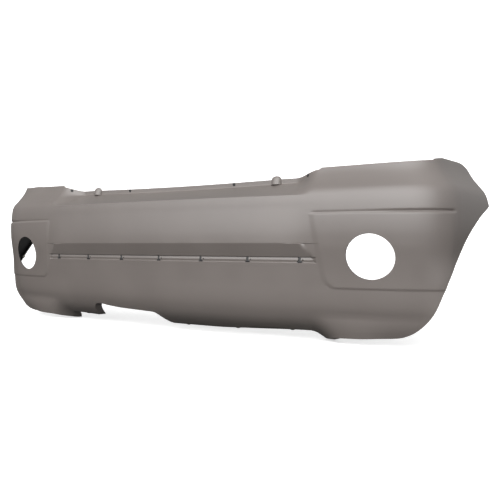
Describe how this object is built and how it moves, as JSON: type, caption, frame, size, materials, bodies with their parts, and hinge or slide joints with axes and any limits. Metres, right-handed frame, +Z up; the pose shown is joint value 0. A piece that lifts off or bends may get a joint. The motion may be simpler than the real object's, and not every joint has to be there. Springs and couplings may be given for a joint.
{
  "type": "rear bumper cover",
  "caption": "Primed rear bumper cover for a small hatchback, with lamp holes, a trim-strip channel with clip seats, an exhaust notch and the small fixings it carries.",
  "frame": {"origin": "on the floor under the middle of the object's box", "axes": "+X along the cover's width, towards the car's right side seen from behind; -Y the way the outer face looks; +Z up"},
  "size_m": [1.6376, 0.4007, 0.4619],
  "materials": {
    "primed_skin": "polypropylene skin, warm grey primer outside, bare black inside",
    "black_nylon": "moulded black nylon clips, grommets and push rivets",
    "bracket_plastic": "black moulded side bracket",
    "spring_steel": "folded spring steel nuts",
    "rivet_aluminium": "aluminium blind rivets"
  },
  "bodies": {
    "cover": {"arch_bracket_left": "bracket_plastic", "arch_bracket_right": "bracket_plastic", "bracket_rivet_front_left": "rivet_aluminium", "bracket_rivet_front_right": "rivet_aluminium", "bracket_rivet_rear_left": "rivet_aluminium", "bracket_rivet_rear_right": "rivet_aluminium", "bumper_skin": "primed_skin", "flange_grommet_1": "black_nylon", "flange_grommet_2": "black_nylon", "flange_grommet_3": "black_nylon", "flange_grommet_4": "black_nylon", "push_rivet_1": "black_nylon", "push_rivet_2": "black_nylon", "push_rivet_3": "black_nylon", "push_rivet_4": "black_nylon", "spring_nut_lower_left": "spring_steel", "spring_nut_lower_right": "spring_steel", "spring_nut_upper_left": "spring_steel", "spring_nut_upper_right": "spring_steel", "trim_clip_1": "black_nylon", "trim_clip_2": "black_nylon", "trim_clip_3": "black_nylon", "trim_clip_4": "black_nylon", "trim_clip_5": "black_nylon", "trim_clip_6": "black_nylon", "trim_clip_7": "black_nylon"},
    "pin_1": {"rivet_pin_1": "black_nylon"},
    "pin_2": {"rivet_pin_2": "black_nylon"},
    "pin_3": {"rivet_pin_3": "black_nylon"},
    "pin_4": {"rivet_pin_4": "black_nylon"}
  },
  "joints": [
    {"name": "pin_1_pull", "type": "slide", "parent": "cover", "child": "pin_1", "axis": [0, 0, -1], "range_m": [0, 0.006]},
    {"name": "pin_2_pull", "type": "slide", "parent": "cover", "child": "pin_2", "axis": [0, 0, -1], "range_m": [0, 0.006]},
    {"name": "pin_3_pull", "type": "slide", "parent": "cover", "child": "pin_3", "axis": [0, 0, -1], "range_m": [0, 0.006]},
    {"name": "pin_4_pull", "type": "slide", "parent": "cover", "child": "pin_4", "axis": [0, 0, -1], "range_m": [0, 0.006]}
  ]
}
